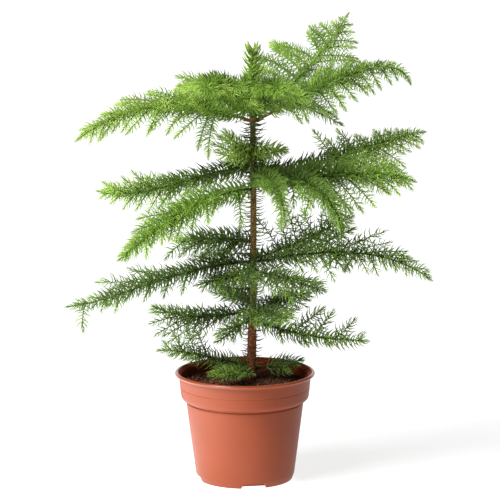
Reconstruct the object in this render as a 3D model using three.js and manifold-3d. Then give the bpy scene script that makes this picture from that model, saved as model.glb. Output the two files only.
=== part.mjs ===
// A young potted araucaria (Norfolk Island pine): a nursery pot full of soil, one upright trunk,
// whorls of boughs round it, and on each bough a flat frond of needled twigs.
// Millimetres and degrees, +Z up. The origin is the middle of the pot's underside, +X is to the right
// and +Y away from the viewer. Azimuths turn from +X towards +Y.
import * as THREE from "three";
import { mergeVertices } from "three/addons/utils/BufferGeometryUtils.js";
import Module from "manifold-3d";

const wasm = await Module();
wasm.setup();

// Driving dimensions of the pot
const POT = {
  height: 118,
  rimRadius: 75,
  lipHeight: 5.4,
  collarTopRadius: 70.2,
  collarFootRadius: 68.6,
  collarFootHeight: 92,
  bodyTopRadius: 62.1,
  bodyTopHeight: 85,
  bodyFootRadius: 52.5,
  bodyFootHeight: 6.5,
  baseRadius: 50.3,
  wall: 1.6,
  facets: 32,
};
const NOTCH = { count: 4, firstAzimuth: -79, width: 29, height: 5.5, depth: 11 };
const DRAIN = { radius: 4, sides: 8 };
const SOIL = { belowRim: 13, mound: 3, facets: 24 };

// Driving dimensions of the trunk: its middle line in side view, and its girth
const TRUNK = {
  footX: 6.5,
  waistX: 9,
  tipX: 8,
  y: 5,
  tipHeight: 404,
  footRadius: 4.9,
  stoutHeight: 150,
  waistRadius: 3.1,
  waistHeight: 252,
  tipRadius: 2.7,
  knotSwell: 0.5,
  knotHeight: 5,
  sides: 10,
  rings: 18,
};
const LEADER = { height: 68, radius: 2.2, needleTurns: 2 };

// The whorls, from the top down. A bough leaves the trunk at its level above the whorl, along its azimuth,
// climbing at its rise, and ends reach away and lift higher, where its tip points along its droop. Width
// scales its twigs on the left and the right hand, and angle sets how wide they open there. Lean turns its
// frond's plane to the front. Hang says how far its twigs hang below that plane, or rise above it where less
// than 0. Taper says how fast its twigs shorten to the tip.
const WHORLS = {
  top: {
    height: 393,
    hang: 0.55,
    boughs: {
      right: {
        azimuth: 10, reach: 170, lift: 36, rise: 24, droop: -70, level: 0,
        width: [0.5, 0.6], angle: [60, 72], lean: 40,
      },
      back_right: {
        azimuth: 57, reach: 195, lift: 96, rise: 18, droop: 40, level: 0,
        width: [1.6, 0.8], angle: [70, 60], lean: 30,
      },
      back_left: {
        azimuth: 128, reach: 140, lift: 8, rise: 28, droop: -15, level: 4,
        width: [0.9, 0.9],
      },
      left: {
        azimuth: 188, reach: 187, lift: -18, rise: 24, droop: -38, level: -2,
        width: [0.85, 0.95], angle: [58, 50], lean: 32,
      },
      front_left: {
        azimuth: 250, reach: 150, lift: 44, rise: 34, droop: -16, level: 0,
        width: [0.9, 1.2],
      },
      front_right: {
        azimuth: 282, reach: 132, lift: 42, rise: 36, droop: -14, level: 0,
        width: [1.2, 0.9],
      },
    },
  },
  upper: {
    height: 322,
    hang: 0.5,
    boughs: {
      back_right: {
        azimuth: 22, reach: 200, lift: 36, rise: 0, droop: 4, level: 13,
        width: [0.95, 1.15], angle: [112, 58], lean: 38,
      },
      back: {
        azimuth: 96, reach: 118, lift: 14, rise: 14, droop: -6, level: 10,
        width: [0.8, 0.8],
      },
      back_left: {
        azimuth: 163, reach: 176, lift: -35, rise: -10, droop: 12, level: 15,
        width: [0.95, 1.1], angle: [62, 50], lean: 42, taper: 0.5,
      },
      front_left: {
        azimuth: 212, reach: 163, lift: -61, rise: 1, droop: -31, level: -4,
        width: [0.95, 1.0], angle: [56, 52],
      },
      front: {
        azimuth: 284, reach: 132, lift: -26, rise: 24, droop: -84, level: 0,
        width: [0.5, 0.5],
      },
      front_right: {
        azimuth: 310, reach: 140, lift: -32, rise: 36, droop: -85, level: 1,
        width: [0.55, 0.55],
      },
      right: {
        azimuth: 348, reach: 172, lift: 4, rise: 1, droop: -18, level: 4,
        width: [0.95, 1.2], angle: [60, 52], lean: 32,
      },
    },
  },
  middle: {
    height: 240,
    hang: 0.35,
    boughs: {
      back_right: {
        azimuth: 44, reach: 152, lift: 28, rise: 5, droop: 10, level: 4,
        width: [0.9, 0.95],
      },
      back_left: {
        azimuth: 158, reach: 84, lift: -3, rise: 2, droop: -6, level: 19,
        width: [1.25, 0.7], lean: 50,
      },
      left: {
        azimuth: 190, reach: 200, lift: -43, rise: -2, droop: -4, level: -6,
        width: [0.6, 0.95], angle: [60, 44], lean: 30,
      },
      front_left: {
        azimuth: 204, reach: 66, lift: -6, rise: 2, droop: -10, level: -16,
        width: [1.1, 0.9], angle: [60, 60],
      },
      front: {
        azimuth: 262, reach: 62, lift: -10, rise: -4, droop: -10, level: -8,
        width: [1.1, 1.1],
      },
      front_right: {
        azimuth: 312, reach: 112, lift: -8, rise: -4, droop: -6, level: -8,
        width: [1.0, 1.1],
      },
      right: {
        azimuth: 357, reach: 189, lift: -18, rise: 12, droop: -38, level: -3,
        width: [1.25, 0.6], angle: [44, 76], lean: 34,
      },
    },
  },
  lower: {
    height: 178,
    hang: 0.4,
    boughs: {
      back_right: {
        azimuth: 55, reach: 111, lift: 2, rise: 4, droop: -4, level: 9,
        width: [0.9, 0.9],
      },
      back: {
        azimuth: 112, reach: 85, lift: 6, rise: 10, droop: -2, level: 10,
        width: [0.9, 0.9],
      },
      left: {
        azimuth: 165, reach: 110, lift: -2, rise: -18, droop: 22, level: 3,
        width: [1.5, 1.0], angle: [46, 60],
      },
      front_left: {
        azimuth: 222, reach: 52, lift: -16, rise: 4, droop: 0, level: -4,
        width: [0.9, 0.9],
      },
      front: {
        azimuth: 294, reach: 90, lift: 8, rise: 16, droop: -5, level: 0,
        width: [1.0, 1.1],
      },
      right: {
        azimuth: 350, reach: 123, lift: -19, rise: -20, droop: -2, level: -1,
        width: [1.15, 0.6], angle: [66, 66], lean: 44, hang: -0.5,
      },
    },
  },
  low: {
    height: 124,
    hang: 0,
    boughs: {
      left: {
        azimuth: 174, reach: 99, lift: 15, rise: 10, droop: -4, level: 2,
        width: [0.7, 1.5], lean: 46, hang: -0.5,
      },
    },
    sprays: {
      front_left: {
        azimuth: 246, reach: 52, lift: 3, rise: 16, droop: -10, level: -7,
        width: [1.4, 1.5], taper: 0.5,
      },
      right: {
        azimuth: 6, reach: 52, lift: 8, rise: 6, droop: 14, level: -8,
        width: [1.2, 1.2],
      },
    },
  },
};

// How limbs, twigs and needles grow
const BOUGH = {
  rootRadius: 1.7,
  tipRadius: 1,
  bareShare: 0.16,
  bareLeast: 15,
  stagger: 1.8,
  sides: 6,
  rings: 2,
};
const HANDLE = { root: 0.45, tip: 0.3 };
const TWIG = {
  pitch: 35,
  share: 0.36,
  angle: 64,
  tipAngle: 42,
  lean: 22,
  roll: 10,
  droop: 0.3,
  least: 14,
  radius: 0.7,
  firstShare: 0.04,
  taper: 0.8,
};
const NEEDLE = { pitch: 19, lateral: 10, forward: 13 };
const JITTER = { length: 0.16, angle: 8, roll: 12, droop: 0.18 };
const CLEAR = 0.3;
const SPACE = { margin: 3, widest: 75 };

const COLOURS = {
  pot: { color: 0xc8704f, roughness: 0.55, metalness: 0 },
  soil: { color: 0x2a1b10, roughness: 0.95, metalness: 0 },
  bark: { color: 0x6e3a22, roughness: 0.85, metalness: 0 },
  shoot: { color: 0x5f5a26, roughness: 0.8, metalness: 0 },
  needles: { color: 0x5e8a34, roughness: 0.6, metalness: 0 },
};

const UP = new THREE.Vector3(0, 0, 1);
const tree = new THREE.Group();
const materials = Object.fromEntries(
  Object.entries(COLOURS).map(([name, look]) => [name, new THREE.MeshStandardMaterial(look)]),
);

// A repeatable run of numbers from 0 to 1 for one limb, so that no two twigs are alike.
function seeded(seed) {
  let state = seed >>> 0;
  return () => {
    state = (state + 0x6d2b79f5) >>> 0;
    let mixed = Math.imul(state ^ (state >>> 15), state | 1);
    mixed ^= mixed + Math.imul(mixed ^ (mixed >>> 7), mixed | 61);
    return ((mixed ^ (mixed >>> 14)) >>> 0) / 4294967296;
  };
}

const { degToRad: radians, mapLinear } = THREE.MathUtils;
const vary = (random, amount) => (2 * random() - 1) * amount;

// Closed geometry as a solid that can be joined and cut, and back again.
function solidOf(geometry) {
  const bare = geometry.clone();
  for (const name of Object.keys(bare.attributes)) if (name !== "position") bare.deleteAttribute(name);
  const merged = mergeVertices(bare, 1e-4);
  const triVerts = new Uint32Array(merged.index.array);
  const vertProperties = new Float32Array(merged.attributes.position.array);
  return new wasm.Manifold(new wasm.Mesh({ numProp: 3, vertProperties, triVerts }));
}

function geometryOf(solid) {
  const mesh = solid.getMesh();
  const positions = new Float32Array(mesh.numVert * 3);
  for (let i = 0; i < mesh.numVert; i++)
    positions.set(mesh.vertProperties.subarray(i * mesh.numProp, i * mesh.numProp + 3), i * 3);
  const geometry = new THREE.BufferGeometry();
  geometry.setAttribute("position", new THREE.BufferAttribute(positions, 3));
  geometry.setIndex(new THREE.BufferAttribute(new Uint32Array(mesh.triVerts), 1));
  geometry.computeVertexNormals();
  return geometry;
}

function addPart(name, geometry, material) {
  const mesh = new THREE.Mesh(geometry, materials[material]);
  mesh.name = name;
  tree.add(mesh);
}

// A closed body turned about the Z axis from [radius, height] pairs.
function turned(profile, facets) {
  const points = profile.map(([radius, height]) => new THREE.Vector2(radius, height));
  return new THREE.LatheGeometry(points, facets).rotateX(Math.PI / 2);
}

// Pot: an outer and an inner turned form, with notches pressed up into its foot and a drain hole in each.
const insideRadius = (outside) => outside - POT.wall;
const soilTop = POT.height - SOIL.belowRim;

function potOutside() {
  const lipFoot = POT.height - POT.lipHeight;
  const lipRound = POT.lipHeight / 4;
  return [
    [0, 0],
    [POT.baseRadius, 0],
    [POT.bodyFootRadius, POT.bodyFootHeight],
    [POT.bodyTopRadius, POT.bodyTopHeight],
    [POT.collarFootRadius, POT.collarFootHeight],
    [POT.collarTopRadius, lipFoot],
    [POT.rimRadius - lipRound, lipFoot],
    [POT.rimRadius, lipFoot + lipRound],
    [POT.rimRadius, POT.height - lipRound],
    [POT.rimRadius - lipRound, POT.height],
    [0, POT.height],
  ];
}

function potInside(gap, top) {
  const lipFoot = POT.height - POT.lipHeight;
  const steps = [
    [POT.baseRadius - POT.wall * 0.5, POT.wall],
    [insideRadius(POT.bodyFootRadius), POT.bodyFootHeight],
    [insideRadius(POT.bodyTopRadius), POT.bodyTopHeight],
    [insideRadius(POT.collarFootRadius), POT.collarFootHeight],
    [insideRadius(POT.collarTopRadius), lipFoot],
    [POT.collarTopRadius, POT.height + 1],
  ];
  const wall = steps.map(([radius, height]) => [radius - gap, height + (height === POT.wall ? gap : 0)]);
  return top === undefined ? wall : cutAt(wall, top);
}

// The part of a rising profile below a height, with its last point on that height.
function cutAt(profile, top) {
  const below = profile.filter(([, height]) => height < top);
  const [low, high] = [below.at(-1), profile[below.length]];
  const share = (top - low[1]) / (high[1] - low[1]);
  return [...below, [low[0] + share * (high[0] - low[0]), top]];
}

const closedDown = (profile) => [[0, profile[0][1]], ...profile, [0, profile.at(-1)[1]]];

function notchBlock(azimuth, grow) {
  const height = NOTCH.height + grow;
  const depth = NOTCH.depth + grow;
  const block = new THREE.BoxGeometry(2 * depth, NOTCH.width + 2 * grow, 2 * height);
  block.translate(POT.baseRadius + NOTCH.depth - depth + grow, 0, 0);
  return solidOf(block.rotateZ(radians(azimuth)));
}

function drainHole(azimuth) {
  const hole = new THREE.CylinderGeometry(DRAIN.radius, DRAIN.radius, 4 * POT.wall, DRAIN.sides);
  hole.rotateX(Math.PI / 2).translate(POT.baseRadius - NOTCH.depth / 2, 0, NOTCH.height + POT.wall / 2);
  return solidOf(hole.rotateZ(radians(azimuth)));
}

const notchAzimuths = Array.from(
  { length: NOTCH.count },
  (_, k) => NOTCH.firstAzimuth + (k * 360) / NOTCH.count,
);

function buildPot() {
  const outside = solidOf(turned(potOutside(), POT.facets));
  let pot = outside.subtract(solidOf(turned(closedDown(potInside(0)), POT.facets)));
  for (const azimuth of notchAzimuths) pot = pot.add(notchBlock(azimuth, POT.wall).intersect(outside));
  for (const azimuth of notchAzimuths) pot = pot.subtract(notchBlock(azimuth, 0));
  for (const azimuth of notchAzimuths) pot = pot.subtract(drainHole(azimuth));
  addPart("pot", geometryOf(pot), "pot");
}

// Soil: fills the pot to a little under its rim and rises in a low mound to the trunk.
function buildSoil() {
  const wall = potInside(CLEAR, soilTop);
  const edge = wall.at(-1)[0];
  const crown = [0.62, 0.3].map((share) => [edge * share, soilTop + SOIL.mound * (1 - share)]);
  const profile = closedDown([...wall, ...crown, [0.01, soilTop + SOIL.mound]]);
  let soil = solidOf(turned([...profile.slice(0, -2), [0, soilTop + SOIL.mound]], SOIL.facets));
  for (const azimuth of notchAzimuths) soil = soil.subtract(notchBlock(azimuth, POT.wall + CLEAR));
  addPart("soil", geometryOf(soil), "soil");
}

// Trunk: its middle line bows a little. It is stout to the lower whorl, then slender, and swells at each.
const trunkFoot = soilTop + SOIL.mound + CLEAR;
const trunkLine = new THREE.CatmullRomCurve3([
  new THREE.Vector3(TRUNK.footX, TRUNK.y, trunkFoot),
  new THREE.Vector3(TRUNK.waistX, TRUNK.y, (trunkFoot + TRUNK.tipHeight) / 2),
  new THREE.Vector3(TRUNK.tipX, TRUNK.y, TRUNK.tipHeight),
]);

function trunkRadius(height) {
  const { stoutHeight, waistHeight, tipHeight, footRadius, waistRadius, tipRadius } = TRUNK;
  const taper =
    height < waistHeight
      ? mapLinear(Math.max(height, stoutHeight), stoutHeight, waistHeight, footRadius, waistRadius)
      : mapLinear(height, waistHeight, tipHeight, waistRadius, tipRadius);
  const knots = Object.values(WHORLS).map(({ height: whorl }) =>
    Math.exp(-(((height - whorl) / TRUNK.knotHeight) ** 2)),
  );
  return taper + TRUNK.knotSwell * Math.max(...knots);
}

function trunkAt(height) {
  return trunkLine.getPoint((height - trunkFoot) / (TRUNK.tipHeight - trunkFoot));
}

// The level direction to the right of a heading that isn't upright.
function sideOf(heading) {
  return heading.clone().cross(UP).normalize();
}

// A round limb along a curve: a cylinder whose rings are moved onto the curve, sized by radiusAt and turned
// to the side that sideAt gives. uprightRoot stands the first ring upright, to sit flat against the trunk.
function limb(curve, radiusAt, { sides, rings }, sideAt, uprightRoot) {
  const cylinder = new THREE.CylinderGeometry(1, 1, 1, sides, rings);
  const position = cylinder.getAttribute("position");
  for (let i = 0; i < position.count; i++) {
    const along = position.getY(i) + 0.5;
    const centre = curve.getPointAt(along);
    const tangent = curve.getTangentAt(along);
    if (uprightRoot && along < 1e-6) tangent.setZ(0).normalize();
    const side = sideAt(tangent);
    const rise = side.clone().cross(tangent).normalize();
    const radius = radiusAt(along);
    centre.addScaledVector(side, position.getX(i) * radius).addScaledVector(rise, position.getZ(i) * radius);
    position.setXYZ(i, centre.x, centre.y, centre.z);
  }
  return cylinder;
}

function buildTrunk() {
  const radiusAt = (along) => trunkRadius(trunkLine.getPointAt(along).z);
  const away = new THREE.Vector3(0, 1, 0);
  const trunk = solidOf(limb(trunkLine, radiusAt, TRUNK, () => away, false));
  addPart("trunk", geometryOf(trunk), "bark");
}

// The middle line of a bough, or of a spray that grows straight from the trunk.
function boughLine(whorlHeight, { azimuth, reach, lift, rise, droop, level }, rootGap) {
  const rootHeight = whorlHeight + level;
  const out = new THREE.Vector3(Math.cos(radians(azimuth)), Math.sin(radians(azimuth)), 0);
  const along = (angle, length) => {
    const level = out.clone().multiplyScalar(length * Math.cos(radians(angle)));
    return level.addScaledVector(UP, length * Math.sin(radians(angle)));
  };
  const root = trunkAt(rootHeight).addScaledVector(out, trunkRadius(rootHeight) + rootGap);
  const tip = root.clone().addScaledVector(out, reach).addScaledVector(UP, lift);
  const rootHandle = root.clone().add(along(rise, reach * HANDLE.root));
  const tipHandle = tip.clone().sub(along(droop, reach * HANDLE.tip));
  return new THREE.CubicBezierCurve3(root, rootHandle, tipHandle, tip);
}

// One stretch of a curve as a curve of its own.
class Stretch extends THREE.Curve {
  constructor(curve, from, to) {
    super();
    Object.assign(this, { curve, from, to });
  }
  getPoint(t) {
    return this.curve.getPointAt(this.from + (this.to - this.from) * t);
  }
}

// A spray of needles: a blade along a curve, diamond in section, whose two edges are cut into forward teeth.
// roomAt gives how far the teeth may stand out at a point.
function needleSpray(curve, normal, radius, roomAt) {
  const length = curve.getLength();
  const teeth = Math.max(2, Math.round(length / NEEDLE.pitch));
  const points = [];
  const add = (point) => points.push(point.x, point.y, point.z) / 3 - 1;
  const frameAt = (along) => {
    const tangent = curve.getTangentAt(along);
    const side = normal.clone().cross(tangent).normalize();
    return { centre: curve.getPointAt(along), tangent, side, rise: tangent.clone().cross(side) };
  };
  const stations = [];
  for (let k = 0; k < teeth; k++) {
    const { centre, tangent, side, rise } = frameAt((k / teeth) * 0.97);
    const thin = radius * (1 - (0.55 * k) / teeth);
    const offset = (s, r, t = 0) =>
      centre.clone().addScaledVector(side, s).addScaledVector(rise, r).addScaledVector(tangent, t);
    const room = Math.min(NEEDLE.lateral, roomAt(centre)) * (1 - (0.35 * k) / teeth);
    const forward = Math.min(NEEDLE.forward, (0.9 * length) / teeth);
    stations.push({
      top: add(offset(0, thin)),
      bottom: add(offset(0, -thin)),
      edges: [add(offset(thin, 0)), add(offset(-thin, 0))],
      tips: [add(offset(thin + room, 0, forward)), add(offset(-thin - room, 0, forward))],
    });
  }
  const tip = add(curve.getPointAt(1));
  const faces = [];
  stations.forEach((here, k) => {
    const next = stations[k + 1];
    here.edges.forEach((edge, i) => {
      const flip = i === 0;
      const face = (a, b, c) => faces.push(...(flip ? [a, c, b] : [a, b, c]));
      const nextEdge = next ? next.edges[i] : tip;
      face(here.top, edge, here.tips[i]);
      face(here.top, here.tips[i], nextEdge);
      face(here.bottom, here.tips[i], edge);
      face(here.bottom, nextEdge, here.tips[i]);
      if (next) {
        face(here.top, nextEdge, next.top);
        face(here.bottom, next.bottom, nextEdge);
      }
    });
  });
  const [right, left] = stations[0].edges;
  faces.push(stations[0].top, right, left, stations[0].bottom, left, right);
  const geometry = new THREE.BufferGeometry();
  geometry.setAttribute("position", new THREE.Float32BufferAttribute(points, 3));
  geometry.setIndex(faces);
  return solidOf(geometry);
}

// The wedge of space round the trunk that one bough's foliage keeps to: how far a point is inside it.
function wedgeOf(boughs, key) {
  const own = boughs[key].azimuth;
  const turns = Object.entries(boughs)
    .filter(([other]) => other !== key)
    .map(([, { azimuth }]) => (((azimuth - own) % 360) + 360) % 360);
  const ahead = Math.min(SPACE.widest, Math.min(...turns, 360) / 2);
  const behind = Math.min(SPACE.widest, (360 - Math.max(...turns, 0)) / 2);
  return (point) => {
    const axis = trunkAt(THREE.MathUtils.clamp(point.z, trunkFoot, TRUNK.tipHeight));
    const outward = new THREE.Vector2(point.x - axis.x, point.y - axis.y);
    const turn = Math.atan2(outward.y, outward.x) - radians(own);
    const off = Math.atan2(Math.sin(turn), Math.cos(turn));
    const inside = Math.min(radians(ahead) - off, radians(behind) + off);
    return outward.length() * Math.sin(Math.min(inside, Math.PI / 2)) - SPACE.margin;
  };
}

// One twig of a frond: it leaves the stem to one side, rolled above or below the frond's plane, leans forward
// and sags towards its tip.
function twigLine(stem, along, hand, { length, angle, roll, droop }) {
  const heading = stem.getTangentAt(along);
  const side = sideOf(heading);
  const over = side.clone().cross(heading);
  const out = side.multiplyScalar(hand * Math.cos(roll)).addScaledVector(over, Math.sin(roll));
  const lean = heading.clone().multiplyScalar(Math.cos(angle)).addScaledVector(out, Math.sin(angle));
  const root = stem.getPointAt(along);
  const middle = root.clone().addScaledVector(lean, length / 2);
  const tip = root.clone().addScaledVector(lean, length).addScaledVector(UP, -droop * length);
  return new THREE.QuadraticBezierCurve3(root, middle, tip);
}

// How long a twig is, as a share of the longest, by how far out along the bough it grows.
function frondShare(out, taper) {
  return 1.25 * Math.min(1, 0.45 + 1.2 * out) * (1 - out) ** taper;
}

// A mass of foliage: the frond's stem with its twigs, all set with needles and fused. The stem starts a bare
// share along its bough.
function foliage(stem, bare, room, seed, bough, hang) {
  const random = seeded(seed);
  const length = stem.getLength();
  const lean = bough.lean ?? TWIG.lean;
  const normalAt = (along) => sideOf(stem.getTangentAt(along)).cross(stem.getTangentAt(along));
  const sprays = [needleSpray(stem, normalAt(0.5), BOUGH.tipRadius, room)];
  const pairs = Math.max(2, Math.round((length * 0.92) / TWIG.pitch));
  for (let k = 0; k < pairs; k++) {
    for (const hand of [1, -1]) {
      const along = TWIG.firstShare + (0.9 * (k + (hand > 0 ? 0.25 : 0.7))) / pairs;
      const out = bare + (1 - bare) * along;
      const side = hand > 0 ? 1 : 0;
      const widest = TWIG.share * bough.width[side] * (length / (1 - bare) + 10);
      const share = frondShare(out, bough.taper ?? TWIG.taper);
      const longest = widest * share * (1 + vary(random, JITTER.length));
      const open = (bough.angle?.[side] ?? TWIG.angle) + (TWIG.tipAngle - TWIG.angle) * out;
      const angle = radians(open + vary(random, JITTER.angle));
      const back = hand * sideOf(stem.getTangentAt(along)).y;
      const roll = radians(lean * back - hang * (TWIG.roll + vary(random, JITTER.roll)));
      const droop = hang * (TWIG.droop + vary(random, JITTER.droop));
      const twigs = [1, 0.8, 0.62, 0.46]
        .map((part) => longest * part)
        .filter((size) => size > TWIG.least)
        .map((size) => twigLine(stem, along, hand, { length: size, angle, roll, droop }));
      const twig = twigs.find((line) => [0.35, 0.7, 1].every((t) => room(line.getPoint(t)) > 1));
      if (!twig) continue;
      const normal = stem.getTangentAt(along).cross(twig.getTangentAt(0)).multiplyScalar(-hand).normalize();
      sprays.push(needleSpray(twig, normal, TWIG.radius, room));
    }
  }
  return sprays.reduce((whole, spray) => whole.add(spray));
}

function buildBough(whorl, key, height, bough, room, seed, hang) {
  const line = boughLine(height, bough, CLEAR);
  const bare = Math.max(BOUGH.bareLeast, BOUGH.bareShare * bough.reach) / line.getLength();
  const radiusAt = (along) => THREE.MathUtils.lerp(BOUGH.rootRadius, BOUGH.tipRadius, along);
  const stub = limb(new Stretch(line, 0, bare), radiusAt, BOUGH, sideOf, true);
  addPart(`bough_${whorl}_${key}`, geometryOf(solidOf(stub)), "shoot");
  const stem = new Stretch(line, bare + CLEAR / line.getLength(), 1);
  const mass = foliage(stem, bare, room, seed, bough, bough.hang ?? hang);
  addPart(`foliage_${whorl}_${key}`, geometryOf(mass), "needles");
}

function buildWhorl(whorl, { height, hang, boughs, sprays = {} }, number) {
  const round = { ...boughs, ...sprays };
  Object.entries(boughs).forEach(([key, bough], k) => {
    const level = height + (((2 * k) % 5) - 2) * BOUGH.stagger;
    buildBough(whorl, key, level, bough, wedgeOf(round, key), 100 * number + k + 8, hang);
  });
  Object.entries(sprays).forEach(([key, spray], k) => {
    const tilt = BOUGH.tipRadius * Math.abs(Math.sin(radians(spray.rise)));
    const stem = new Stretch(boughLine(height, spray, CLEAR + tilt), 0, 1);
    const mass = foliage(stem, 0, wedgeOf(round, key), 100 * number + 50 + k, spray, hang);
    addPart(`foliage_${whorl}_${key}`, geometryOf(mass), "needles");
  });
}

// Leader: the upright young shoot above the top whorl, with needles on every side.
function buildLeader() {
  const foot = trunkLine.getPoint(1).addScaledVector(UP, CLEAR);
  const line = new THREE.LineCurve3(foot, foot.clone().addScaledVector(UP, LEADER.height));
  const blades = Array.from({ length: LEADER.needleTurns }, (_, k) => {
    const turn = (k * Math.PI) / LEADER.needleTurns;
    const normal = new THREE.Vector3(Math.cos(turn), Math.sin(turn), 0);
    return needleSpray(line, normal, LEADER.radius, () => NEEDLE.lateral);
  });
  addPart("foliage_leader", geometryOf(blades.reduce((whole, blade) => whole.add(blade))), "needles");
}

buildPot();
buildSoil();
buildTrunk();
Object.entries(WHORLS).forEach(([whorl, layout], number) => buildWhorl(whorl, layout, number));
buildLeader();

export default tree;
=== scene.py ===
"""The looks of a young potted araucaria: bark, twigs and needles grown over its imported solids, a nursery pot of
soil, and a plain stage. Growth is worked out in millimetres and degrees, in the frame of the solids, and is
turned to metres as each mesh is made."""

import functools
import math
import random
from typing import NamedTuple

import bmesh
import bpy
import numpy as np
from bpy.props import FloatProperty, FloatVectorProperty, IntProperty, PointerProperty
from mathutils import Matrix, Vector, noise


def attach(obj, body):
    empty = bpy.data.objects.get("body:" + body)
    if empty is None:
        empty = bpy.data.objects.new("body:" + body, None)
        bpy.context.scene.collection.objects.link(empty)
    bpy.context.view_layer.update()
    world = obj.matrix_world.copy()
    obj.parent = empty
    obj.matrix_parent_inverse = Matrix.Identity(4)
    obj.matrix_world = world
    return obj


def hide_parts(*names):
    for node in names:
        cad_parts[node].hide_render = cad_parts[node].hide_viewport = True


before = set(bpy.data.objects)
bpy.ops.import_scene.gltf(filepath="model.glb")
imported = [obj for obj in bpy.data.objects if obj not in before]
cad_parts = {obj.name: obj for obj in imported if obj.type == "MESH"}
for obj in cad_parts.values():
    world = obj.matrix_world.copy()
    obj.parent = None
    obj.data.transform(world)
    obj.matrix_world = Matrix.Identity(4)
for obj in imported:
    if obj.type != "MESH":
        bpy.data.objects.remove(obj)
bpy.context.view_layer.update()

bl_info = {
    "name": "Potted araucaria",
    "version": (1, 0, 0),
    "blender": (4, 5, 0),
    "location": "View3D > Sidebar > Plant",
    "description": "Grows a young potted araucaria over its solids and sets a plain stage",
    "category": "Add Mesh",
}

NODES = sorted(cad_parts)
MM = 0.001
UP = np.array([0.0, 0.0, 1.0])
GOLDEN_TURN = math.pi * (3 - math.sqrt(5))


class Bough(NamedTuple):
    """A bough and its frond of twigs. A pair of values is for its left and its right hand, looking outwards."""

    azimuth: float  # its direction, seen from above
    reach: float  # how far out its tip is
    lift: float  # how far its tip is above its root
    rise: float  # climb at its root
    droop: float  # climb at its tip
    level: float = 0  # how far its root is above the whorl
    width: tuple = (0.9, 0.9)  # length of its twigs
    angle: tuple = None  # between its first twigs and its stem
    lean: float = None  # turn of its frond's plane to the front
    hang: float = None  # how far its twigs hang below that plane
    pitch: float = None  # length of stem for each pair of twigs
    bare: float = 0.18  # share of the stem before its first twigs
    taper: float = 0.8  # how soon its twigs shorten towards the tip
    slack: float = 8  # how far its twigs may reach out of the bough's own space
    brush: tuple = (1.1, 0.85, 0.5)  # needles on the stem: inner length, outer length and spacing
    clear: float = None  # share of the stem before its first needles
    brown: float = 0.06  # share of the stem with brown bark, in the top whorl
    needle: float = 1.0  # length of the needles on its twigs
    sparse: float = 1.0  # spacing of the needles on its twigs
    youth_and_light: float = 0  # how much newer its needles are than its whorl's, set higher on some boughs as painted light on shaded twigs and lower on others as painted shade under the whorl above
    fresh_and_lit: float = 0.5  # how much newer the needles of its outer twigs are, raised on some boughs as painted light on shaded outer twigs
    strays: tuple = ()  # twigs that stand apart: start, azimuth, climb, length and youth of each, the last also raised on some as painted light


class Whorl(NamedTuple):
    """A whorl of boughs and what they share. A bough can have a hang, a pitch and a clear stretch of its own."""

    height: float
    hang: float
    pitch: float
    clear: float
    youth_and_light: float  # age of its needles, from old and dark, 0, to new and bright, 3, which its boughs raise and lower also as painted light and shade
    needle: float  # length of its needles, by the full length
    spacing: float  # length of shoot for each needle
    thick: float  # width of its needles, by the full width
    boughs: dict


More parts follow.
